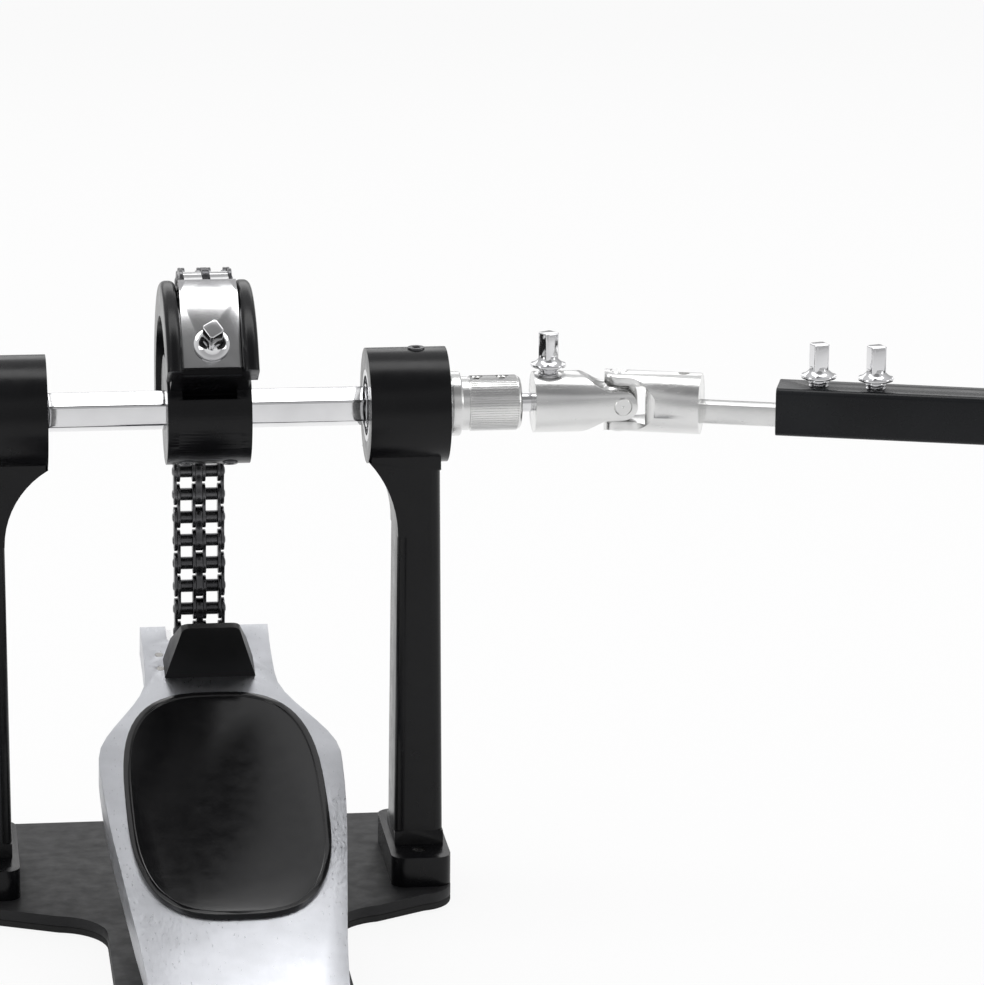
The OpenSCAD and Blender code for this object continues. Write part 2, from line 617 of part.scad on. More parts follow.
coil_z1 = hook_z - 2.4;
function hook(z, up) = [for (i = [0:9]) let (a = 110 - 270 * i / 9) [hook_r * sin(a), 0, z + up * hook_r * cos(a)]];
function coil() = [for (i = [0:coil_n * 10]) [coil_r * cos(36 * i), coil_r * sin(36 * i),
    coil_z0 + 3.2 + (coil_z1 - coil_z0 - 6.4) * i / coil_n / 10]];
module return_spring() color("silver") translate([spring_x, spring_y, 0]) {
    lower = hook(coil_z0, -1);
    upper = hook(coil_z1, 1);
    wire(concat([for (i = [9:-1:0]) lower[i]], coil(), upper), wire_r);
}
module tension_rod() color("silver") translate([spring_x, spring_y, 0]) {
    translate([0, 0, 40]) cylinder(r = rod_r, h = eye_z - 40 - 5);
    translate([0, 0, eye_z]) rotate([0, 90, 0]) rotate_extrude() translate([4.1, 0]) circle(r = 1.6, $fn = 32);
}
module tension_nut() color("silver") translate([spring_x, spring_y, lug_z - 9]) difference() {
    union() {
        cylinder(r = 8, h = 7);
        cylinder(r = 5.5, h = 9);
    }
    translate([0, 0, -1]) cylinder(r = rod_r, h = 12);
}
module lock_nut() color("silver") translate([spring_x, spring_y, lug_z + lug_t]) difference() {
    cylinder(r = 5.77, h = 5, $fn = 6);
    translate([0, 0, -1]) cylinder(r = rod_r, h = 12);
}

// --- collar and stub ---
module end_washer() color("silver") at_axle() difference() {
    along_x(rb_out + 0.15, collar_x, 12.9);
    along_x(rb_out - 1, collar_x + 1, journal_d / 2);
}
collar_screw_x = [collar_x + 10.6, collar_x + 20.6];
module collar() color("silver") at_axle() difference() {
    union() {
        along_x(collar_x, collar_x + flange_l, 12.6);
        along_x(collar_x + 1, neck_end, grip_d / 2);
        along_x(neck_end, collar_end - 1.2, grip_d / 2);
        translate([collar_end - 1.2, 0, 0]) rotate([0, 90, 0]) cylinder(r1 = grip_d / 2, r2 = grip_d / 2 - 1.2, h = 1.2);
    }
    along_x(collar_x - 1, step_x, journal_d / 2);
    along_x(step_x - 1, collar_end + 1, stub_d / 2);
    for (x = collar_screw_x) translate([x, 0, 0]) cylinder(r = 2.6, h = 20);
}
module collar_screws() color("silver") at_axle() for (i = [0, 1]) {
    seat = i == 0 ? journal_d / 2 : stub_d / 2;
    translate([collar_screw_x[i], 0, seat]) set_screw(2.6, grip_d / 2 - 1 - seat);
}
module stub_shaft() color("silver") at_axle() along_x(stub_x0, stub_x1, stub_d / 2);

// --- universal joints: a yoke lies along +X, its cross centre at the origin ---
function neck(t) = [neck_start + (neck_end_s - neck_start) * t,
    ear_w / 2 + (yoke_d - ear_w) / 2 * smooth(t)];
neck_points = [for (i = [0:10]) neck(i / 10)];
module yoke(l, ears_y) rotate([ears_y ? 90 : 0, 0, 0]) difference() {
    intersection() {
        along_x(-yoke_d, l, yoke_d / 2);
        translate([0, 0, -yoke_d / 2]) linear_extrude(yoke_d) polygon(concat(
            arc([0, 0], ear_w / 2, 270, 90, 16), neck_points, [[l, yoke_d / 2], [l, -yoke_d / 2]],
            [for (i = [10:-1:0]) [neck_points[i][0], -neck_points[i][1]]]));
    }
    translate([-20, -20, -ear_gap / 2]) cube([20 + yoke_bottom, 40, ear_gap]);
    translate([0, 0, -yoke_d]) cylinder(d = cross_pin_d + 2 * slip, h = 2 * yoke_d);
}
block_a = ear_gap - 1;
module cross_block() intersection() {
    translate([-block_a / 2, -block_a / 2, -block_a / 2]) cube(block_a);
    sphere(r = block_a * 0.62);
}
module cross_with_bores() difference() {
    cross_block();
    rotate([90, 0, 0]) translate([0, 0, -20]) cylinder(d = cross_pin_d, h = 40);
    translate([0, 0, -20]) cylinder(d = cross_pin_d, h = 40);
}
module pins() {
    l = yoke_d / 2 - 0.1;
    translate([0, 0, -l]) cylinder(d = cross_pin_d, h = 2 * l);
    rotate([90, 0, 0]) translate([0, 0, -l]) cylinder(d = cross_pin_d, h = 2 * l);
}
module at_near() translate([cross_x, 0, axle_h]) children();
module on_shaft() at_near() rotate([0, 0, -bend]) children();
module at_far() on_shaft() translate([far_s, 0, 0]) children();
flat_z = yoke_d / 2 - 0.9;
// A yoke body with a round socket and a key bolt seat on its top
module socket_yoke(l, ears_y, socket_r, key_at) difference() {
    yoke(l, ears_y);
    along_x(yoke_bottom - 1, l + 1, socket_r);
    translate([key_at, 0, 0]) cylinder(d = key_d, h = 30);
    translate([key_at, 0, flat_z]) cylinder(r = 6, h = 5);
}
module near_yoke() color("silver") at_near() mirror([1, 0, 0])
    socket_yoke(yoke_l, true, stub_d / 2, cross_x - key_x);
module near_yoke_bolt() color("silver") translate([key_x, 0, axle_h + flat_z]) key_bolt(flat_z - stub_d / 2);
module near_cross() color("gray") at_near() cross_with_bores();
module near_pins() color("silver") at_near() pins();
module rod_yoke() color("silver") on_shaft() difference() {
    yoke(yoke_b_l, false);
    translate([yoke_bottom + 4, -rod_a / 2, -rod_a / 2 - rod_drop]) cube([40, rod_a, rod_a]);
    translate([yoke_b_l - 7, 0, 0]) cylinder(r = 2.2, h = 30);
}
module rod_yoke_screw() color("silver") on_shaft() translate([yoke_b_l - 7, 0, rod_a / 2 - rod_drop])
    set_screw(2.2, yoke_d / 2 - rod_a / 2 + rod_drop - 1);
module square_rod() color("silver") on_shaft()
    translate([yoke_bottom + 4.5, -rod_a / 2, -rod_a / 2 - rod_drop]) cube([rod_end - yoke_bottom - 4.5, rod_a, rod_a]);
tube_key_s = [tube_s + 15.7, tube_s + 37.9];
module square_section(a, r) polygon(concat(
    arc([a / 2 - r, a / 2 - r], r, 0, 90, 6), arc([r - a / 2, a / 2 - r], r, 90, 180, 6),
    arc([r - a / 2, r - a / 2], r, 180, 270, 6), arc([a / 2 - r, r - a / 2], r, 270, 360, 6)));
tube_in = tube_a / 2 - tube_wall;
module square_tube() color("black") on_shaft() difference() {
    translate([tube_s, 0, 0]) rotate([0, 90, 0]) linear_extrude(tube_l) difference() {
        square_section(tube_a, 2.2);
        square_section(2 * tube_in, 0.5);
    }
    for (s = tube_key_s) translate([s, 0, 0]) cylinder(d = key_d, h = 30);
    translate([tube_s + tube_l - 12, 0, 0]) cylinder(r = 2.1, h = 30);
}
module tube_bolts() color("silver") on_shaft() for (s = tube_key_s)
    translate([s, 0, tube_a / 2]) key_bolt(tube_a / 2 - rod_a / 2 + rod_drop);
// Solid plug in the tube's far end, with a round stub into the far yoke and its locking screw
module tube_plug() color("silver") on_shaft() {
    translate([tube_s + tube_l - 26, 0, 0]) rotate([0, 90, 0]) linear_extrude(26)
        square_section(2 * tube_in, 0.5);
    along_x(tube_s + tube_l - 1, far_s - yoke_bottom - 5, 5);
    translate([tube_s + tube_l - 12, 0, 0]) cylinder(r = 2.08, h = tube_a / 2 - 0.3);
}
module tube_yoke() color("silver") at_far() mirror([1, 0, 0]) difference() {
    yoke(yoke_b_l, false);
    along_x(yoke_bottom + 4, yoke_b_l + 1, 5);
}
module far_cross() color("gray") at_far() cross_with_bores();
module far_pins() color("silver") at_far() pins();
module far_yoke() color("silver") at_far() socket_yoke(yoke_l, true, stub_d / 2, yoke_l - key_from_end);
module far_yoke_bolt() color("silver") at_far() translate([yoke_l - key_from_end, 0, flat_z])
    key_bolt(flat_z - stub_d / 2 - 0.3);

floor_pad();
base_plate();
left_post();
right_post();
post_screws();
boss_plugs();
bearing_outer_rings();
bearing_balls();
bearing_inner_rings();
axle();
cam();
hub_set_screws();
clamp_plate();
clamp_bolt();
chain_anchor_links();
chain_link_1();
chain_link_2();
chain_link_3();
chain_link_4();
chain_link_5();
chain_run();
chain_end_bolt();
footboard();
foot_pad();
toe_stop();
toe_stop_screws();
chain_bracket();
bracket_rivets();
heel_plate();
heel_insert();
heel_screws();
heel_pin();
spring_rocker();
rocker_pin();
rocker_screw();
spring_hanger();
return_spring();
tension_rod();
tension_nut();
lock_nut();
end_washer();
collar();
collar_screws();
stub_shaft();
near_yoke();
near_yoke_bolt();
near_cross();
near_pins();
rod_yoke();
rod_yoke_screw();
square_rod();
square_tube();
tube_bolts();
tube_plug();
tube_yoke();
far_cross();
far_pins();
far_yoke();
far_yoke_bolt();
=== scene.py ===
import json
import math
import bmesh
import bpy
from mathutils import Matrix, Vector


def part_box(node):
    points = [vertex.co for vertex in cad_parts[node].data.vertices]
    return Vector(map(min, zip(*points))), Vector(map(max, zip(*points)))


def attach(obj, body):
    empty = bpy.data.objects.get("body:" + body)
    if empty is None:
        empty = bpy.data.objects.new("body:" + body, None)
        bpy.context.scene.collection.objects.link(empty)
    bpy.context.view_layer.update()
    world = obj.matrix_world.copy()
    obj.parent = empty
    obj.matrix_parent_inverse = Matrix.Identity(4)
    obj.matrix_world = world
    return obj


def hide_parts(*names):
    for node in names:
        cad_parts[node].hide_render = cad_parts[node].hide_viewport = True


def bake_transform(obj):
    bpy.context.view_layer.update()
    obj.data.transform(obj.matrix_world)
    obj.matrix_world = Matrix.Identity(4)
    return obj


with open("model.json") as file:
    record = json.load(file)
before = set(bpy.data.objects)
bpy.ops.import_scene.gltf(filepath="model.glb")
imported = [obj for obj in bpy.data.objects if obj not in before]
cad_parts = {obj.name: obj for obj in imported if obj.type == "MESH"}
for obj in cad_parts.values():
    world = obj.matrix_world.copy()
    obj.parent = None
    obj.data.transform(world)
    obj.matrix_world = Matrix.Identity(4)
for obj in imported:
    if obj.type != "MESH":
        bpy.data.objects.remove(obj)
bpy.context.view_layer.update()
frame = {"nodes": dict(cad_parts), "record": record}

nodeBody = {n: b for b, ns in frame["record"]["behaviour"]["bodies"].items() for n in ns}
nodeSlot = {s["node"]: s["material_slot"] for s in frame["record"]["subparts"]}
jointAt = {j["name"]: j for j in frame["record"]["behaviour"]["joints"]}
mm = 0.001
axleHeight = jointAt["axle_turn"]["pos_m"][2]
print("frame loaded:", len(nodeBody), "nodes")

# camera: long lens, from the player's side and a little to the left
camera = {"azimuth": -7.286, "elevation": 15.02, "roll": 0.0088, "distance": 1.938,
          "aim": (0.10897, -0.02214, 0.16466), "lens": 182.74}


def makeCamera(c):
    az, el = math.radians(c["azimuth"]), math.radians(c["elevation"])
    forward = Vector((-math.sin(az) * math.cos(el), math.cos(az) * math.cos(el), -math.sin(el)))
    level = Vector((math.cos(az), math.sin(az), 0))
    upright = level.cross(forward)
    right = math.cos(c["roll"]) * level + math.sin(c["roll"]) * upright
    up = -math.sin(c["roll"]) * level + math.cos(c["roll"]) * upright
    data = bpy.data.cameras.new("camera")
    data.lens = c["lens"]
    data.sensor_width = 36
    data.clip_end = 20
    cam = bpy.data.objects.new("camera", data)
    bpy.context.scene.collection.objects.link(cam)
    turn = Matrix((right, up, -forward)).transposed().to_4x4()
    cam.matrix_world = Matrix.Translation(Vector(c["aim"]) - forward * c["distance"]) @ turn
    bpy.context.scene.camera = cam


makeCamera(camera)
print("camera set")


# materials
def startMaterial(name):
    m = bpy.data.materials.new(name)
    m.use_nodes = True
    t = m.node_tree
    return m, t, t.nodes["Principled BSDF"]


def place(t, stretch=(1, 1, 1), turn=(0, 0, 0)):
    co = t.nodes.new("ShaderNodeTexCoord")
    mp = t.nodes.new("ShaderNodeMapping")
    mp.inputs["Scale"].default_value = stretch
    mp.inputs["Rotation"].default_value = turn
    t.links.new(co.outputs["Object"], mp.inputs["Vector"])
    return mp.outputs["Vector"]


def noise(t, where, scale, detail=4, rough=0.55):
    n = t.nodes.new("ShaderNodeTexNoise")
    n.inputs["Scale"].default_value = scale
    n.inputs["Detail"].default_value = detail
    n.inputs["Roughness"].default_value = rough
    t.links.new(where, n.inputs["Vector"])
    return n.outputs["Fac"]


def spread(t, value, low, high, start=0.3, end=0.7):
    r = t.nodes.new("ShaderNodeMapRange")
    r.inputs["From Min"].default_value = start
    r.inputs["From Max"].default_value = end
    r.inputs["To Min"].default_value = low
    r.inputs["To Max"].default_value = high
    t.links.new(value, r.inputs["Value"])
    return r.outputs["Result"]


def tint(t, value, dark, light):
    r = t.nodes.new("ShaderNodeValToRGB")
    r.color_ramp.elements[0].position = 0.3
    r.color_ramp.elements[0].color = (*dark, 1)
    r.color_ramp.elements[1].position = 0.7
    r.color_ramp.elements[1].color = (*light, 1)
    t.links.new(value, r.inputs["Fac"])
    return r.outputs["Color"]


def bump(t, shader, height, depth, strength=0.5):
    b = t.nodes.new("ShaderNodeBump")
    b.inputs["Strength"].default_value = strength
    b.inputs["Distance"].default_value = depth
    t.links.new(height, b.inputs["Height"])
    t.links.new(b.outputs["Normal"], shader.inputs["Normal"])


# paint: broad tone drift, fine orange peel
def paint(name, dark, light, roughLow, roughHigh, peel=900, depth=0.00003, coat=0.0, gloss=0.32):
    m, t, s = startMaterial(name)
    at = place(t)
    drift = noise(t, at, 24, 3)
    grain = noise(t, at, peel, 2)
    t.links.new(tint(t, drift, dark, light), s.inputs["Base Color"])
    t.links.new(spread(t, noise(t, at, 150, 4), roughLow, roughHigh), s.inputs["Roughness"])
    s.inputs["Specular IOR Level"].default_value = gloss
    s.inputs["Coat Weight"].default_value = coat
    s.inputs["Coat Roughness"].default_value = 0.12
    bump(t, s, grain, depth)
    return m


# metal: metallic with grain drawn out along one axis
def metal(name, dark, light, roughLow, roughHigh, stretch=(1, 1, 1), turn=(0, 0, 0), grain=500,
          depth=0.000008):
    m, t, s = startMaterial(name)
    at = place(t, stretch, turn)
    lines = noise(t, at, grain, 5, 0.6)
    stain = noise(t, place(t), 45, 3)
    s.inputs["Metallic"].default_value = 1
    t.links.new(tint(t, stain, dark, light), s.inputs["Base Color"])
    t.links.new(spread(t, lines, roughLow, roughHigh), s.inputs["Roughness"])
    bump(t, s, lines, depth, 0.35)
    return m


boardSlope = math.radians(16)
finish = {
    "black_paint": paint("castingPaint", (0.0035, 0.0036, 0.0042), (0.0065, 0.0066, 0.0075),
                         0.20, 0.28, 1100, 0.000010, 0.0, 0.24),
    "base_paint": paint("basePaint", (0.008, 0.008, 0.009), (0.016, 0.016, 0.017),
                        0.42, 0.56, 1500, 0.00006),
    "tube_paint": paint("tubePaint", (0.005, 0.0056, 0.007), (0.009, 0.010, 0.012),
                        0.24, 0.32, 1400, 0.000012, 0.0, 0.24),
    "stop_plastic": paint("stopPlastic", (0.0035, 0.0036, 0.004), (0.007, 0.007, 0.0075),
                          0.34, 0.46, 2600, 0.00003),
    "pad_gloss": paint("padGloss", (0.003, 0.003, 0.0034), (0.005, 0.005, 0.0055),
                       0.10, 0.17, 420, 0.000006, 0.3),
    "rubber": paint("floorRubber", (0.010, 0.010, 0.010), (0.020, 0.020, 0.020),
                    0.72, 0.86, 1900, 0.0001, 0.0, 0.4),
    "zinc_screws": metal("zincScrew", (0.40, 0.40, 0.39), (0.56, 0.55, 0.53), 0.20, 0.34),
    "bearing_steel": metal("bearingSteel", (0.45, 0.45, 0.46), (0.58, 0.58, 0.59), 0.12, 0.22),
    "chrome": metal("brightPlate", (0.72, 0.72, 0.73), (0.82, 0.82, 0.83), 0.06, 0.13, (0.2, 1, 1)),
    "satin_nickel": metal("satinNickel", (0.50, 0.50, 0.51), (0.61, 0.61, 0.61),
                          0.14, 0.20, (1, 1, 1), (0, 0, 0), 1100),
    "yoke_steel": metal("yokeSteel", (0.74, 0.74, 0.74), (0.84, 0.84, 0.83),
                        0.18, 0.28, (0.06, 1, 1), (0, 0, 0), 900),
    "chain_steel": metal("chainSteel", (0.07, 0.07, 0.075), (0.17, 0.17, 0.175), 0.22, 0.38),
    "spring_steel": metal("springWire", (0.60, 0.60, 0.60), (0.74, 0.74, 0.73), 0.14, 0.26),
    "board_aluminium": metal("brushedBoard", (0.50, 0.51, 0.535), (0.60, 0.61, 0.64), 0.26, 0.44,
                             (1, 0.03, 1), (boardSlope, 0, 0), 1400, 0.00002),
}
print("materials:", len(finish))


# mesh helpers
def addMesh(name, verts, faces, smooth=True):
    mesh = bpy.data.meshes.new(name)
    mesh.from_pydata([tuple(v) for v in verts], [], faces)
    bm = bmesh.new()
    bm.from_mesh(mesh)
    bmesh.ops.remove_doubles(bm, verts=bm.verts, dist=1e-7)
    bmesh.ops.recalc_face_normals(bm, faces=bm.faces)
    bm.to_mesh(mesh)
    bm.free()
    for p in mesh.polygons:
        p.use_smooth = smooth
    o = bpy.data.objects.new(name, mesh)
    bpy.context.scene.collection.objects.link(o)
    return o


def applyAll(o):
    deps = bpy.context.evaluated_depsgraph_get()
    done = bpy.data.meshes.new_from_object(o.evaluated_get(deps))
    o.modifiers.clear()
    o.data = done
    return o


def rounded(o, width, segments=3, angle=32):
    b = o.modifiers.new("edges", "BEVEL")
    b.width = width * mm
    b.segments = segments
    b.limit_method = "ANGLE"
    b.angle_limit = math.radians(angle)
    b.harden_normals = False
    b.miter_outer = "MITER_ARC"
    applyAll(o)
    for p in o.data.polygons:
        p.use_smooth = True
    o.data.set_sharp_from_angle(angle=math.radians(38))
    return o


def settle(o, body, slot, nodes=(), skin=None):
    o.data.materials.clear()
    o.data.materials.append(finish[skin or slot])
    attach(o, body)
    if nodes:
        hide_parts(*nodes)
    return o


def transformed(o, matrix):
    o.data.transform(matrix)
    if matrix.to_3x3().determinant() < 0:
        o.data.flip_normals()
    return o


def joined(name, parts):
    bm = bmesh.new()
    for p in parts:
        bm.from_mesh(p.data)
        bpy.data.objects.remove(p)
    mesh = bpy.data.meshes.new(name)
    bm.to_mesh(mesh)
    bm.free()
    o = bpy.data.objects.new(name, mesh)
    bpy.context.scene.collection.objects.link(o)
    return o


# a turned piece: profile of (station, radius) in mm, spun round X
def turned(name, profile, steps=48, closed=True):
    verts, faces = [], []
    for x, r in profile:
        for k in range(steps):
            a = 2 * math.pi * k / steps
            verts.append((x * mm, r * mm * math.cos(a), r * mm * math.sin(a)))
    n = len(profile)
    for i in range(n - 1):
        for k in range(steps):
            j = (k + 1) % steps
            faces.append((i * steps + k, i * steps + j, (i + 1) * steps + j, (i + 1) * steps + k))
    if closed:
        faces.append(tuple(range(steps)))
        faces.append(tuple((n - 1) * steps + k for k in range(steps)))
    return addMesh(name, verts, faces)


# a flat outline in the XY plane, given a thickness up Z
def slab(name, outline, z0, z1):
    n = len(outline)
    verts = [(x * mm, y * mm, z0 * mm) for x, y in outline] + [(x * mm, y * mm, z1 * mm) for x, y in outline]
    faces = [tuple(range(n)), tuple(range(n, 2 * n))]
    faces += [(i, (i + 1) % n, n + (i + 1) % n, n + i) for i in range(n)]
    return addMesh(name, verts, faces)


def arcPoints(cx, cy, r, a0, a1, n=8):
    return [(cx + r * math.cos(math.radians(a0 + (a1 - a0) * i / n)),
             cy + r * math.sin(math.radians(a0 + (a1 - a0) * i / n))) for i in range(n + 1)]


def cut(o, cutter, how="DIFFERENCE"):
    b = o.modifiers.new("cut", "BOOLEAN")
    b.operation = how
    b.solver = "EXACT"
    b.object = cutter
    applyAll(o)
    bpy.data.objects.remove(cutter)
    return o


# geometry nodes: a row or ring of one part
def nodeTree(name, inputs):
    t = bpy.data.node_groups.new(name, "GeometryNodeTree")
    for label, kind in inputs:
        t.interface.new_socket(label, in_out="INPUT", socket_type=kind)
    t.interface.new_socket("Geometry", in_out="OUTPUT", socket_type="NodeSocketGeometry")
    return t, t.nodes.new("NodeGroupInput"), t.nodes.new("NodeGroupOutput")


def bakeTree(name, tree, values):
    mesh = bpy.data.meshes.new(name)
    o = bpy.data.objects.new(name, mesh)
    bpy.context.scene.collection.objects.link(o)
    m = o.modifiers.new("build", "NODES")
    m.node_group = tree
    ids = {s.name: s.identifier for s in tree.interface.items_tree if s.in_out == "INPUT"}
    for label, value in values.items():
        m[ids[label]] = value
    applyAll(o)
    return o


def rowTree():
    t, gin, gout = nodeTree("partRow", [("Part", "NodeSocketObject"), ("Count", "NodeSocketInt"),
                                        ("Step", "NodeSocketVector"), ("Material", "NodeSocketMaterial")])
    line = t.nodes.new("GeometryNodeMeshLine")
    info = t.nodes.new("GeometryNodeObjectInfo")
    put = t.nodes.new("GeometryNodeInstanceOnPoints")
    real = t.nodes.new("GeometryNodeRealizeInstances")
    skin = t.nodes.new("GeometryNodeSetMaterial")
    t.links.new(gin.outputs["Count"], line.inputs["Count"])
    t.links.new(gin.outputs["Step"], line.inputs["Offset"])
    t.links.new(gin.outputs["Part"], info.inputs["Object"])
    t.links.new(line.outputs["Mesh"], put.inputs["Points"])
    t.links.new(info.outputs["Geometry"], put.inputs["Instance"])
    t.links.new(put.outputs["Instances"], real.inputs["Geometry"])
    t.links.new(real.outputs["Geometry"], skin.inputs["Geometry"])
    t.links.new(gin.outputs["Material"], skin.inputs["Material"])
    t.links.new(skin.outputs["Geometry"], gout.inputs["Geometry"])
    return t


def ringTree():
    t, gin, gout = nodeTree("partRing", [("Part", "NodeSocketObject"), ("Count", "NodeSocketInt"),
                                         ("Radius", "NodeSocketFloat"), ("Material", "NodeSocketMaterial")])
    ring = t.nodes.new("GeometryNodeMeshCircle")
    info = t.nodes.new("GeometryNodeObjectInfo")
    put = t.nodes.new("GeometryNodeInstanceOnPoints")
    index = t.nodes.new("GeometryNodeInputIndex")
    whole = t.nodes.new("ShaderNodeMath")
    whole.operation = "DIVIDE"
    turn = t.nodes.new("ShaderNodeMath")
    turn.operation = "MULTIPLY"
    turn.inputs[1].default_value = 2 * math.pi
    xyz = t.nodes.new("ShaderNodeCombineXYZ")
    real = t.nodes.new("GeometryNodeRealizeInstances")
    skin = t.nodes.new("GeometryNodeSetMaterial")
    t.links.new(gin.outputs["Count"], ring.inputs["Vertices"])
    t.links.new(gin.outputs["Radius"], ring.inputs["Radius"])
    t.links.new(gin.outputs["Part"], info.inputs["Object"])
    t.links.new(index.outputs["Index"], whole.inputs[0])
    t.links.new(gin.outputs["Count"], whole.inputs[1])
    t.links.new(whole.outputs[0], turn.inputs[0])
    t.links.new(turn.outputs[0], xyz.inputs["Z"])
    t.links.new(ring.outputs["Mesh"], put.inputs["Points"])
    t.links.new(info.outputs["Geometry"], put.inputs["Instance"])
    t.links.new(xyz.outputs["Vector"], put.inputs["Rotation"])
    t.links.new(put.outputs["Instances"], real.inputs["Geometry"])
    t.links.new(real.outputs["Geometry"], skin.inputs["Geometry"])
    t.links.new(gin.outputs["Material"], skin.inputs["Material"])
    t.links.new(skin.outputs["Geometry"], gout.inputs["Geometry"])
    return t


def coilTree():
    t, gin, gout = nodeTree("coil", [("Turns", "NodeSocketFloat"), ("Radius", "NodeSocketFloat"),
                                     ("Height", "NodeSocketFloat"), ("Wire", "NodeSocketFloat"),
                                     ("Material", "NodeSocketMaterial")])
    spiral = t.nodes.new("GeometryNodeCurveSpiral")
    spiral.inputs["Resolution"].default_value = 28
    circle = t.nodes.new("GeometryNodeCurvePrimitiveCircle")
    circle.inputs["Resolution"].default_value = 10
    tube = t.nodes.new("GeometryNodeCurveToMesh")
    tube.inputs["Fill Caps"].default_value = True
    skin = t.nodes.new("GeometryNodeSetMaterial")
    t.links.new(gin.outputs["Turns"], spiral.inputs["Rotations"])
    t.links.new(gin.outputs["Radius"], spiral.inputs["Start Radius"])
    t.links.new(gin.outputs["Radius"], spiral.inputs["End Radius"])
    t.links.new(gin.outputs["Height"], spiral.inputs["Height"])
    t.links.new(gin.outputs["Wire"], circle.inputs["Radius"])
    t.links.new(spiral.outputs["Curve"], tube.inputs["Curve"])
    t.links.new(circle.outputs["Curve"], tube.inputs["Profile Curve"])
    t.links.new(tube.outputs["Mesh"], skin.inputs["Geometry"])
    t.links.new(gin.outputs["Material"], skin.inputs["Material"])
    t.links.new(skin.outputs["Geometry"], gout.inputs["Geometry"])
    return t


rowOf, ringOf, coilOf = rowTree(), ringTree(), coilTree()


# CAD pieces with eased edges
def eased(node, width, segments=3, angle=32, shape=None, skin=None):
    source = frame["nodes"][node]
    o = bpy.data.objects.new(node + "_eased", source.data.copy())
    bpy.context.scene.collection.objects.link(o)
    bm = bmesh.new()
    bm.from_mesh(o.data)
    bmesh.ops.remove_doubles(bm, verts=bm.verts, dist=2e-6)
    bmesh.ops.dissolve_limit(bm, angle_limit=math.radians(0.8), verts=bm.verts, edges=bm.edges)
    bm.to_mesh(o.data)
    bm.free()
    if shape:
        shape(o)
    rounded(o, width, segments, angle)
    return settle(o, nodeBody[node], nodeSlot[node], [node], skin)


# rounds only the edges that a test picks out
def roundEdges(o, wanted, width, segments=6):
    bm = bmesh.new()
    bm.from_mesh(o.data)
    edges = [e for e in bm.edges if len(e.link_faces) == 2 and e.calc_face_angle(0) > 0.5 and wanted(e)]
    bmesh.ops.bevel(bm, geom=edges, offset=width * mm, segments=segments, profile=0.5, affect="EDGES",
                    clamp_overlap=True)
    bm.to_mesh(o.data)
    bm.free()


# posts: coves cut along the upright corners leave them well rounded
column = {"width": 16.5, "half": 14, "low": 24.5, "high": 172, "innerHigh": 145, "inset": 3.4, "flare": 2,
          "round": 4.2, "base": 8, "axle": 195, "bossRadius": 22.5, "over": 1.5, "steps": 8}


def coveBar(x0, x1, y, z0, z1, sx, sy, radius):
    over, steps = column["over"], column["steps"]
    curve = [(radius - radius * math.sin(a), radius - radius * math.cos(a))
             for a in (math.pi / 2 * k / steps for k in range(steps + 1))]
    outline = [(-over, -over), (radius, -over)] + curve + [(-over, radius)]
    n = len(outline)
    verts = [((x + sx * u) * mm, (y + sy * v) * mm, z * mm)
             for x, z in ((x0, z0), (x1, z1)) for u, v in outline]
    faces = [tuple(range(n)), tuple(range(n, 2 * n))]
    faces += [(i, (i + 1) % n, n + (i + 1) % n, n + i) for i in range(n)]
    return addMesh("cove", verts, faces)


def roundColumn(o):
    c = column
    side = 1 if sum(v.co.x for v in o.data.vertices) > 0 else -1
    crown = axleHeight + c["bossRadius"] * mm
    ends = [v.co.x / mm for v in o.data.vertices if abs(v.co.z - crown) < 0.0008]
    outer = max(ends, key=lambda x: x * side) - side * c["inset"]
    inner = outer - side * c["width"]
    slant = c["flare"] / (c["axle"] - c["base"])
    edges = ((outer, -side, side * slant, c["high"]), (inner, side, -side * slant / 2, c["innerHigh"]))
    for edge, sx, flare, high in edges:
        x0, x1 = edge + flare * (c["axle"] - c["low"]), edge + flare * (c["axle"] - high)
        for sy in (1, -1):
            cut(o, coveBar(x0, x1, -sy * c["half"], c["low"], high, sx, sy, c["round"]))


# toe stop: its back falls away behind a narrow top
stopSizes = {"topDepth": 0.0035, "backSlope": 52, "cutter": 40}


def slopeBack(o):
    inBoard = Matrix.Rotation(boardSlope, 4, "X")
    spots = [inBoard.inverted() @ v.co for v in o.data.vertices]
    top, front = max(p.z for p in spots), min(p.y for p in spots)
    low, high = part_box("toe_stop")
    a = stopSizes["cutter"]
    box = slab("wedge", [(-a, 0), (a, 0), (a, a), (-a, a)], -a, a)
    tip = Vector(((low.x + high.x) / 2, front + stopSizes["topDepth"], top))
    lean = Matrix.Rotation(math.radians(-stopSizes["backSlope"]), 4, "X")
    cut(o, transformed(box, inBoard @ Matrix.Translation(tip) @ lean @ Matrix.Translation((0, 0, 0.04))))


shapes = {"left_post": roundColumn, "right_post": roundColumn, "toe_stop": slopeBack}
skins = {"hub_set_screws": "chain_steel", "boss_plugs": "chain_steel"}


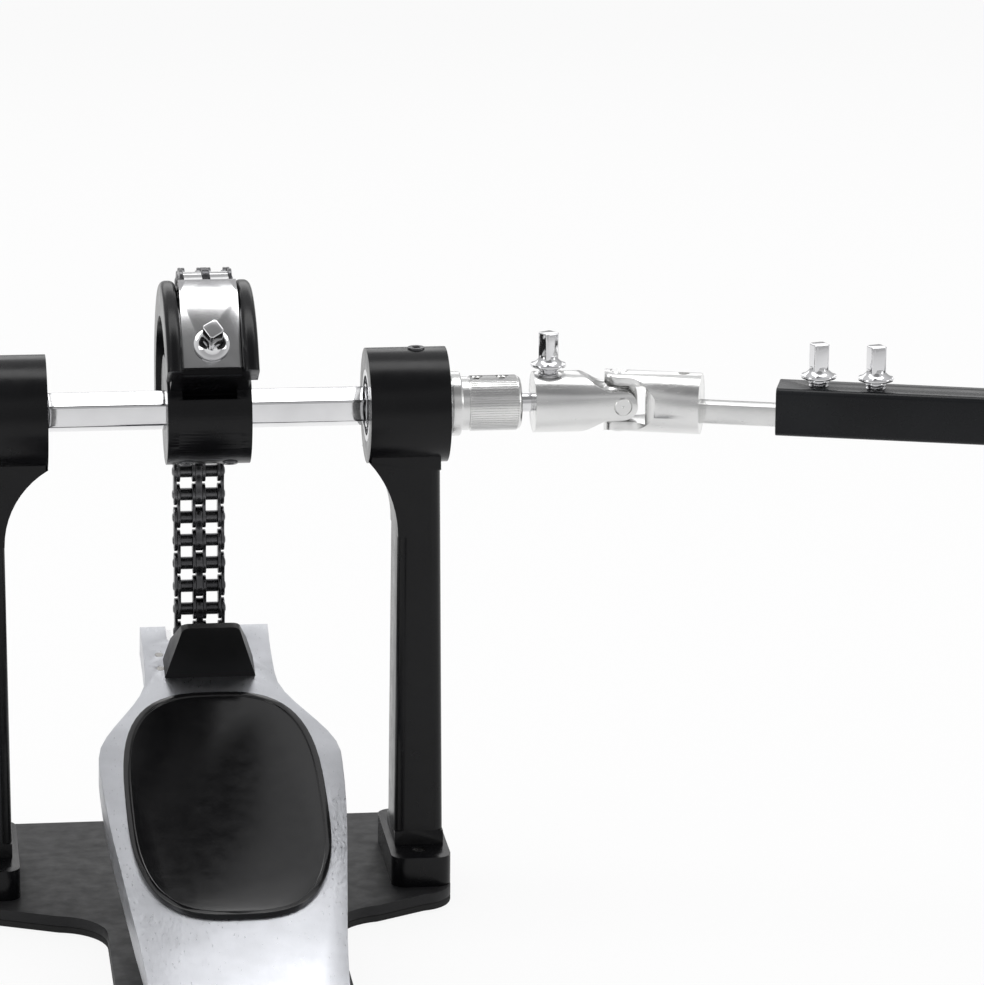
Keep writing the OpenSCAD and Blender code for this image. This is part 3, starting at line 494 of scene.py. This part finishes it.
# width of the eased edge in mm for each piece that keeps its CAD shape
edgeWidths = {
    "left_post": (1.6, 4), "right_post": (1.6, 4), "base_plate": (0.8, 3), "floor_pad": (0.8, 2),
    "axle": (0.7, 3), "clamp_plate": (0.6, 4), "footboard": (0.7, 3), "foot_pad": (0.5, 3),
    "toe_stop": (1.8, 5), "chain_bracket": (0.5, 2), "heel_plate": (1.2, 4), "heel_insert": (0.6, 3),
    "spring_rocker": (0.9, 3), "spring_hanger": (0.5, 2), "tension_nut": (0.6, 3), "lock_nut": (0.4, 2),
    "end_washer": (0.3, 2), "stub_shaft": (0.4, 2), "near_yoke": (0.8, 3), "rod_yoke": (0.8, 3),
    "tube_yoke": (0.8, 3), "far_yoke": (0.8, 3), "near_cross": (0.6, 2), "far_cross": (0.6, 2),
    "heel_pin": (0.5, 3), "rocker_pin": (0.5, 3), "square_rod": (0.6, 3), "square_tube": (0.35, 2),
    "tube_plug": (0.5, 2), "hub_set_screws": (0.3, 2), "boss_plugs": (0.35, 2),
}
for node, (width, segments) in edgeWidths.items():
    eased(node, width, segments, 32, shapes.get(node), skins.get(node))
print("eased CAD pieces:", len(edgeWidths))
for node, o in frame["nodes"].items():
    o.data.materials.clear()
    o.data.materials.append(finish[nodeSlot[node]])


# cam: the rims get a fat round edge first, then every other edge a small one
camSizes = {"rimRadius": 50, "rimRound": 2.4, "edge": 1.1, "hub": 21.3, "hubHalf": 12,
            "fillLow": -26, "fillTop": 8.6, "fillHalf": 20, "fillFront": -24, "fillBack": -9, "steps": 180}


def shapeCam(o):
    c = camSizes
    # the hollow in the hub's front is filled from below up to a little above the axle's height
    plug = turned("plug", [(-c["hubHalf"], c["hub"]), (c["hubHalf"], c["hub"])], c["steps"])
    h, front, back = c["fillHalf"], c["fillFront"], c["fillBack"]
    keep = slab("slice", [(-h, front), (h, front), (h, back), (-h, back)], c["fillLow"], c["fillTop"])
    cut(plug, keep, "INTERSECT")
    cut(o, transformed(plug, Matrix.Translation((0, 0, axleHeight))), "UNION")

    def onRim(v):
        return abs(math.hypot(v.co.y, v.co.z - axleHeight) - c["rimRadius"] * mm) < 0.00005
    roundEdges(o, lambda e: onRim(e.verts[0]) and onRim(e.verts[1])
               and abs(e.verts[0].co.x - e.verts[1].co.x) < 1e-6, c["rimRound"])


eased("cam", camSizes["edge"], 3, 34, shapeCam)
print("cam made")


# key bolts: threaded shank, disc flange, waisted flare and a square head
keyBolt = {"thread": 3.95, "root": 3.45, "threadPitch": 1.25, "flange": 7.0, "flangeThick": 1.4,
           "flare": 3.2, "square": 6.4, "chamfer": 0.8, "headHeight": 12.6, "headTurn": 32}


def squareOutline(a, c):
    h = a / 2
    return [(h - c, h), (c - h, h), (-h, h - c), (-h, c - h),
            (c - h, -h), (h - c, -h), (h, c - h), (h, h - c)]


def makeKeyBolt(name, k, depth, shown):
    profile = [(-depth, k["root"] - 0.5)]
    z = -depth + 0.3
    while z < shown - k["threadPitch"] - 0.2:
        profile += [(z, k["root"]), (z + k["threadPitch"] / 2, k["thread"])]
        z += k["threadPitch"]
    profile += [(z, k["root"]), (shown - 0.05, k["root"]), (shown, k["root"] + 0.4)]
    f, t = k["flange"], k["flangeThick"]
    profile += [(shown, f - 0.6), (shown + 0.15, f - 0.2), (shown + t / 2, f),
                (shown + t - 0.15, f - 0.2), (shown + t, f - 0.7)]
    for i in range(1, 9):
        u = i / 8
        profile.append((shown + t + k["flare"] * u, 3.5 + (f - 4.4) * (1 - u) ** 2.1))
    body = turned("shank", profile, 40)
    body.data.set_sharp_from_angle(angle=math.radians(50))
    transformed(body, Matrix.Rotation(-math.pi / 2, 4, "Y"))
    head = slab("head", squareOutline(k["square"], k["chamfer"]), shown + 2, shown + 1 + k["headHeight"])
    rounded(head, 0.42, 3, 40)
    transformed(head, Matrix.Rotation(math.radians(k["headTurn"]), 4, "Z"))
    return joined(name, [body, head])


crossAt = Vector(jointAt["near_cross_tilt"]["pos_m"])
farAt = Vector(jointAt["far_yoke_tilt"]["pos_m"])
shaftAngle = -16
shaftTurn = Matrix.Rotation(math.radians(shaftAngle), 4, "Z")
onShaft = Matrix.Translation(crossAt) @ shaftTurn
flatAngle = math.radians(138.6)
boltPlaces = {"clampOut": 44.0, "clampAlong": -4.4, "clampDepth": 12, "clampShown": 0.05, "tubeFirst": 78.2,
              "tubeSecond": 100.4, "tubeTop": 9.5, "tubeDepth": 4.6, "yokeDepth": 6.5, "shown": 3}


def placeBolts(b):
    lift = Matrix.Translation((0, 0, axleHeight)) @ Matrix.Rotation(flatAngle, 4, "X")
    lift = lift @ Matrix.Translation((0, b["clampOut"] * mm, b["clampAlong"] * mm))
    lift = lift @ Matrix.Rotation(-math.pi / 2, 4, "X")
    clamp = makeKeyBolt("clampKeyBolt", keyBolt, b["clampDepth"], b["clampShown"])
    settle(transformed(clamp, lift), "axle", "chrome", ["clamp_bolt"])
    tube = [transformed(makeKeyBolt("key", keyBolt, b["tubeDepth"], b["shown"]),
                        onShaft @ Matrix.Translation((s * mm, 0, b["tubeTop"] * mm)))
            for s in (b["tubeFirst"], b["tubeSecond"])]
    settle(joined("tubeKeyBolts", tube), "tube", "chrome", ["tube_bolts"])
    yokes = (("nearKeyBolt", "axle", "near_yoke_bolt", 0),
             ("farKeyBolt", "far_yoke", "far_yoke_bolt", shaftAngle))
    for name, body, node, turn in yokes:
        low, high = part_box(node)
        mid = (low + high) / 2
        top = b["shown"] + 1 + keyBolt["headHeight"]
        at = Matrix.Translation((mid.x, mid.y, high.z - top * mm))
        at = at @ Matrix.Rotation(math.radians(turn), 4, "Z")
        bolt = makeKeyBolt(name, keyBolt, b["yokeDepth"], b["shown"])
        settle(transformed(bolt, at), body, "chrome", [node])


placeBolts(boltPlaces)
print("key bolts made")


# collar: turned body with a ring of straight ribs cut by the two screw holes
collarSizes = {"start": 94.5, "flangeRadius": 12.6, "flangeEnd": 98.7, "neck": 10.5, "gripStart": 102.2,
               "gripEnd": 121.2, "end": 122.3, "core": 10.45, "rib": 10.8, "ribs": 64,
               "ribTip": 0.12, "bore": 7, "steps": 96, "hole": 2.6, "holeFrom": 4.5, "holes": (105.1, 115.1)}


def makeCollar(c):
    body = turned("collarBody", [
        (c["start"], c["bore"]), (c["start"], c["flangeRadius"] - 0.8),
        (c["start"] + 0.5, c["flangeRadius"] - 0.1),
        (c["start"] + 0.9, c["flangeRadius"]), (c["flangeEnd"] - 0.5, c["flangeRadius"]),
        (c["flangeEnd"] - 0.1, c["flangeRadius"] - 0.3), (c["flangeEnd"], c["flangeRadius"] - 0.8),
        (c["flangeEnd"] + 0.1, c["neck"] + 0.2), (c["flangeEnd"] + 0.4, c["neck"]),
        (c["gripStart"] - 0.5, c["neck"]),
        (c["gripStart"] - 0.3, c["neck"] - 0.35), (c["gripStart"], c["core"]), (c["gripEnd"], c["core"]),
        (c["end"] - 0.3, c["core"] - 0.5), (c["end"], c["core"] - 0.9), (c["end"], 4.2)], c["steps"])
    body.data.set_sharp_from_angle(angle=math.radians(30))
    half = math.pi * c["core"] / c["ribs"] * 0.86
    a, b = c["gripStart"] + 0.1, c["gripEnd"]
    low, high = c["core"] - 0.3, c["rib"]
    tip = c["ribTip"]
    verts = [(low, -half, a), (low, half, a), (high, tip, a + 0.4), (high, -tip, a + 0.4),
             (low, -half, b), (low, half, b), (high, tip, b - 0.6), (high, -tip, b - 0.6)]
    rib = addMesh("rib", [(x * mm, y * mm, z * mm) for x, y, z in verts],
                  [(0, 1, 2, 3), (4, 7, 6, 5), (0, 4, 5, 1), (1, 5, 6, 2), (2, 6, 7, 3), (3, 7, 4, 0)], False)
    ribs = bakeTree("collarRibs", ringOf, {"Part": rib, "Count": c["ribs"], "Radius": 0.000001,
                                           "Material": finish["chrome"]})
    bpy.data.objects.remove(rib)
    transformed(ribs, Matrix.Rotation(math.pi / 2, 4, "Y"))
    for x in c["holes"]:
        for o in (body, ribs):
            drill = turned("drill", [(0, c["hole"]), (12, c["hole"])], 28)
            transformed(drill, Matrix.Translation((x * mm, 0, c["holeFrom"] * mm))
                        @ Matrix.Rotation(-math.pi / 2, 4, "Y"))
            cut(o, drill)
    o = transformed(joined("knurledCollar", [body, ribs]), Matrix.Translation((0, 0, axleHeight)))
    return settle(o, "axle", "chrome", ["collar"], "yoke_steel")


# joint pins with a chamfered end and a punch mark
pinSizes = {"half": 11.9, "radius": 3.5}


def makePins(name, p, at, body, node):
    h, r = p["half"], p["radius"]
    profile = [(-h + 0.25, 0.1), (-h, 0.45), (-h, r - 0.45), (-h + 0.4, r),
               (h - 0.4, r), (h, r - 0.45), (h, 0.45), (h - 0.25, 0.1)]
    parts = []
    for axis in ("Y", "Z"):
        pin = turned("pin", profile, 40)
        pin.data.set_sharp_from_angle(angle=math.radians(30))
        parts.append(transformed(pin, Matrix.Rotation(math.pi / 2, 4, axis)))
    return settle(transformed(joined(name, parts), at), body, "yoke_steel", [node])


makeCollar(collarSizes)
makePins("nearJointPins", pinSizes, Matrix.Translation(crossAt), "near_cross", "near_pins")
makePins("farJointPins", pinSizes, Matrix.Translation(farAt) @ shaftTurn, "far_cross", "far_pins")
print("collar and pins made")


# return spring: a close coil with a hook at each end
springSizes = {"x": -108.6, "y": -19.02, "lowHook": 101.2, "highHook": 163.96, "gap": 3.2, "coil": 6.2,
               "turns": 15, "wire": 0.9, "hook": 3.6, "hookSteps": 28, "hookStart": 110, "hookSweep": 270}


def hookWire(q, z, up, coilEnd):
    points = []
    for i in range(q["hookSteps"] + 1):
        a = math.radians(q["hookStart"] - q["hookSweep"] * i / q["hookSteps"])
        points.append((q["hook"] * math.sin(a), 0, z + up * q["hook"] * math.cos(a)))
    # one point between the end of the coil and the start of the hook eases the bend
    between = ((q["coil"] + points[0][0]) / 2 + 0.5, 0.0, (coilEnd + points[0][2]) / 2 + 0.3 * up)
    points = [(q["coil"], 0.0, coilEnd), between] + points
    curve = bpy.data.curves.new("hook", "CURVE")
    curve.dimensions = "3D"
    curve.bevel_depth = q["wire"] * mm
    curve.bevel_resolution = 3
    curve.use_fill_caps = True
    line = curve.splines.new("POLY")
    line.points.add(len(points) - 1)
    for p, v in zip(line.points, points):
        p.co = (v[0] * mm, v[1] * mm, v[2] * mm, 1)
    o = bpy.data.objects.new("hook", curve)
    bpy.context.scene.collection.objects.link(o)
    mesh = bpy.data.meshes.new_from_object(o.evaluated_get(bpy.context.evaluated_depsgraph_get()))
    bpy.data.objects.remove(o)
    o = bpy.data.objects.new("hookMesh", mesh)
    bpy.context.scene.collection.objects.link(o)
    return o


def makeSpring(q):
    low, high = q["lowHook"] + q["gap"], q["highHook"] - q["gap"]
    coil = bakeTree("springCoil", coilOf, {"Turns": float(q["turns"]), "Radius": q["coil"] * mm,
                                           "Height": (high - low) * mm, "Wire": q["wire"] * mm,
                                           "Material": finish["spring_steel"]})
    transformed(coil, Matrix.Translation((0, 0, low * mm)))
    o = joined("returnSpring", [coil, hookWire(q, q["lowHook"], -1, low), hookWire(q, q["highHook"], 1, high)])
    for p in o.data.polygons:
        p.use_smooth = True
    transformed(o, Matrix.Translation((q["x"] * mm, q["y"] * mm, 0)))
    o.data.materials.clear()
    o.data.materials.append(finish["spring_steel"])
    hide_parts("return_spring")
    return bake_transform(o)


makeSpring(springSizes)
print("spring made")


# heel: rubber ribs across the insert
ribSizes = {"width": 39, "count": 12, "step": 3.4, "half": 0.8, "height": 0.5, "sunk": 0.3, "round": 0.35}


def makeHeelRibs(q):
    low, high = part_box("heel_insert")
    mid = (low + high) / 2
    w, h = q["width"] / 2, q["half"]
    rib = slab("ribBar", [(-w, -h), (w, -h), (w, h), (-w, h)], -q["sunk"], q["height"])
    rounded(rib, q["round"], 2, 40)
    o = bakeTree("heelRibs", rowOf, {"Part": rib, "Count": q["count"], "Step": (0, q["step"] * mm, 0),
                                     "Material": finish["rubber"]})
    bpy.data.objects.remove(rib)
    back = (q["count"] - 1) * q["step"] / 2 * mm
    return settle(transformed(o, Matrix.Translation((mid.x, mid.y - back, high.z))), "frame", "rubber")


makeHeelRibs(ribSizes)
print("heel ribs made")


# chain
chain = {"pitch": 9.525, "strand": 10.13, "pinLength": 21.2, "innerWidth": 4.77, "plate": 1.25,
         "plateRadius": 4.3, "waist": 3.1, "roller": 2.54, "pin": 1.8, "radius": 50.6, "hanging": 12, "free": 5}
linkStep = 2 * math.degrees(math.asin(chain["pitch"] / 2 / chain["radius"]))


def plateOutline(c):
    # figure of eight: two round ends joined by a waist
    r, p, w = c["plateRadius"], c["pitch"], c["waist"]
    start = 38
    upper = arcPoints(0, 0, r, -start, 180 + start, 14)
    lower = arcPoints(0, -p, r, 180 - start, 360 + start, 14)
    return upper + [(-w, -p / 2)] + lower + [(w, -p / 2)]


def chainPlate(c, x0, x1):
    o = slab("plate", [(y, z) for y, z in plateOutline(c)], x0, x1)
    # outline lies in XY with thickness up Z: turn it to lie in YZ with thickness along X
    transformed(o, Matrix(((0, 0, 1, 0), (1, 0, 0, 0), (0, 1, 0, 0), (0, 0, 0, 1))))
    return rounded(o, 0.22, 2, 40)


def pinLink(c):
    out = c["strand"] / 2 + c["innerWidth"] / 2 + c["plate"] + 0.1
    inner = c["strand"] / 2 - c["innerWidth"] / 2 - c["plate"] - 0.1
    parts = [chainPlate(c, s * out if s > 0 else -out - c["plate"], s * out + c["plate"] if s > 0 else -out)
             for s in (-1, 1)]
    parts.append(chainPlate(c, -inner, inner))
    half, r = c["pinLength"] / 2, c["pin"]
    for z in (0, -c["pitch"]):
        pin = turned("pin", [(-half, r * 0.55), (-half + 0.25, r * 0.9), (-half + 0.6, r), (half - 0.6, r),
                             (half - 0.25, r * 0.9), (half, r * 0.55)], 20)
        parts.append(transformed(pin, Matrix.Translation((0, 0, z * mm))))
    return joined("pinLink", parts)


def rollerLink(c):
    parts = []
    half = c["innerWidth"] / 2
    for s in (-1, 1):
        x = s * c["strand"] / 2
        parts.append(chainPlate(c, x - half - c["plate"], x - half))
        parts.append(chainPlate(c, x + half, x + half + c["plate"]))
        for z in (0, -c["pitch"]):
            roller = turned("roller", [(-half, 2.1), (-half, c["roller"] - 0.2), (-half + 0.2, c["roller"]),
                                       (half - 0.2, c["roller"]), (half, c["roller"] - 0.2), (half, 2.1)], 20, False)
            parts.append(transformed(roller, Matrix.Translation((x * mm, 0, z * mm))))
    return joined("rollerLink", parts)


pinTemplate, rollerTemplate = pinLink(chain), rollerLink(chain)


def linkRow(template, count, step):
    o = bakeTree("row", rowOf, {"Part": template, "Count": count, "Step": step,
                                "Material": finish["chain_steel"]})
    for p in o.data.polygons:
        p.use_smooth = True
    o.data.set_sharp_from_angle(angle=math.radians(40))
    return o


def wrappedPlace(k):
    lift = Matrix.Translation((0, 0, axleHeight)) @ Matrix.Rotation(math.radians(k * linkStep), 4, "X")
    lift = lift @ Matrix.Translation((0, chain["radius"] * mm, 0))
    return lift @ Matrix.Rotation(math.radians(-linkStep / 2), 4, "X")


def makeChain(c):
    tangent = Matrix.Translation((0, c["radius"] * mm, axleHeight))
    step = (0, 0, -2 * c["pitch"] * mm)
    below = Matrix.Translation((0, 0, -c["pitch"] * mm))
    half = c["hanging"] // 2
    run = joined("chainRun", [transformed(linkRow(pinTemplate, half, step), tangent),
                              transformed(linkRow(rollerTemplate, half, step), tangent @ below)])
    settle(run, "chain_run", "chain_steel", ["chain_run"])
    for i in range(c["free"]):
        template = rollerTemplate if i % 2 == 0 else pinTemplate
        o = transformed(linkRow(template, 1, step), wrappedPlace(c["free"] - i))
        o.name = "chainLink%d" % (i + 1)
        settle(o, "chain_%d" % (i + 1), "chain_steel", ["chain_link_%d" % (i + 1)])
    anchors = [transformed(linkRow(t, 1, step), wrappedPlace(c["free"] + k))
               for k, t in ((1, pinTemplate), (2, rollerTemplate), (3, pinTemplate))]
    settle(joined("chainAnchor", anchors), "axle", "chain_steel", ["chain_anchor_links"])


makeChain(chain)
for template in (pinTemplate, rollerTemplate):
    bpy.data.objects.remove(template)
print("chain made")


# floor, backdrop and light
# the two front and back floor levels are a painted reflection: how brightly the floor glows to glossy rays at its
# front and at its back
studioSizes = {"floorWhite": 0.9, "reflectedFloorFront": 0.28, "reflectedFloorBack": 0.9, "frontDark": 0.34}


def studio(q):
    bpy.ops.mesh.primitive_plane_add(size=8, location=(0.2, 0, -0.0004))
    floor = bpy.context.object
    floor.name = "floor"
    m = bpy.data.materials.new("paleFloor")
    m.use_nodes = True
    t = m.node_tree
    out, s = t.nodes["Material Output"], t.nodes["Principled BSDF"]
    s.inputs["Base Color"].default_value = (0.86, 0.86, 0.86, 1)
    s.inputs["Roughness"].default_value = 0.6
    glow = t.nodes.new("ShaderNodeEmission")
    mix = t.nodes.new("ShaderNodeMixShader")
    path = t.nodes.new("ShaderNodeLightPath")
    share = t.nodes.new("ShaderNodeMath")
    share.operation = "MULTIPLY"
    share.inputs[1].default_value = q["floorWhite"]
    # painted reflection: to glossy rays the floor glows, darker at the front and brighter behind; straight to the
    # camera it is mostly even white glow
    glint = t.nodes.new("ShaderNodeMath")
    glint.operation = "MULTIPLY_ADD"
    spot = t.nodes.new("ShaderNodeTexCoord")
    along = t.nodes.new("ShaderNodeSeparateXYZ")
    t.links.new(spot.outputs["Object"], along.inputs[0])
    t.links.new(spread(t, along.outputs["Y"], q["reflectedFloorFront"], q["reflectedFloorBack"], 0.0, 0.35), glint.inputs[1])
    t.links.new(path.outputs["Is Camera Ray"], share.inputs[0])
    t.links.new(path.outputs["Is Glossy Ray"], glint.inputs[0])
    t.links.new(share.outputs[0], glint.inputs[2])
    t.links.new(glint.outputs[0], mix.inputs[0])
    t.links.new(s.outputs[0], mix.inputs[1])
    t.links.new(glow.outputs[0], mix.inputs[2])
    t.links.new(mix.outputs[0], out.inputs["Surface"])
    floor.data.materials.append(m)
    world = bpy.data.worlds.new("studio")
    bpy.context.scene.world = world
    world.use_nodes = True
    w = world.node_tree
    lit, out = w.nodes["Background"], w.nodes["World Output"]
    co = w.nodes.new("ShaderNodeTexCoord")
    split = w.nodes.new("ShaderNodeSeparateXYZ")
    ramp = w.nodes.new("ShaderNodeValToRGB")
    e = ramp.color_ramp.elements
    e[0].position, e[0].color = 0.0, (0.55, 0.55, 0.55, 1)
    e[1].position, e[1].color = 1.0, (0.80, 0.80, 0.81, 1)
    for at, level in ((0.48, 0.48), (0.56, 0.44), (0.66, 0.46), (0.80, 0.62)):
        k = e.new(at)
        k.color = (level, level, level * 1.01, 1)
    half = w.nodes.new("ShaderNodeMath")
    half.operation = "MULTIPLY_ADD"
    half.inputs[1].default_value = 0.5
    half.inputs[2].default_value = 0.5
    flagAt = w.nodes.new("ShaderNodeVectorMath")   # a dark patch high in front of the object
    flagAt.operation = "DOT_PRODUCT"
    flagAt.inputs[1].default_value = (0, -0.47, 0.883)
    flag = w.nodes.new("ShaderNodeMapRange")
    flag.interpolation_type = "SMOOTHSTEP"
    flag.inputs["From Min"].default_value = 0.86
    flag.inputs["From Max"].default_value = 0.97
    flag.inputs["To Min"].default_value = 1
    flag.inputs["To Max"].default_value = q["frontDark"]
    w.links.new(co.outputs["Generated"], split.inputs[0])
    w.links.new(co.outputs["Generated"], flagAt.inputs[0])
    w.links.new(flagAt.outputs["Value"], flag.inputs["Value"])
    w.links.new(split.outputs["Z"], half.inputs[0])
    w.links.new(half.outputs[0], ramp.inputs["Fac"])
    w.links.new(ramp.outputs["Color"], lit.inputs["Color"])
    w.links.new(flag.outputs["Result"], lit.inputs["Strength"])
    white = w.nodes.new("ShaderNodeBackground")
    white.inputs["Color"].default_value = (1, 1, 1, 1)
    mixW = w.nodes.new("ShaderNodeMixShader")
    pathW = w.nodes.new("ShaderNodeLightPath")
    w.links.new(pathW.outputs["Is Camera Ray"], mixW.inputs[0])
    w.links.new(lit.outputs[0], mixW.inputs[1])
    w.links.new(white.outputs[0], mixW.inputs[2])
    w.links.new(mixW.outputs[0], out.inputs["Surface"])


def softbox(name, at, target, size, power):
    data = bpy.data.lights.new(name, "AREA")
    data.shape = "RECTANGLE"
    data.size, data.size_y = size
    data.energy = power
    o = bpy.data.objects.new(name, data)
    bpy.context.scene.collection.objects.link(o)
    o.location = at
    o.rotation_euler = (Vector(target) - Vector(at)).to_track_quat("-Z", "Y").to_euler()
    return o


studio(studioSizes)
softbox("topBox", (0.1, 0.20, 1.5), (0.1, 0.1, 0.15), (2.0, 0.5), 9.5)
softbox("leftBox", (-1.6, -0.7, 0.7), (0.1, 0, 0.15), (0.6, 1.0), 3.4)
softbox("rightBox", (1.8, -0.5, 0.8), (0.1, 0, 0.15), (0.6, 1.0), 3.4)
softbox("backBox", (0.1, 1.6, 0.9), (0.1, 0, 0.15), (1.8, 0.7), 4)
bpy.context.scene.view_settings.view_transform = "Standard"
print("studio lit")
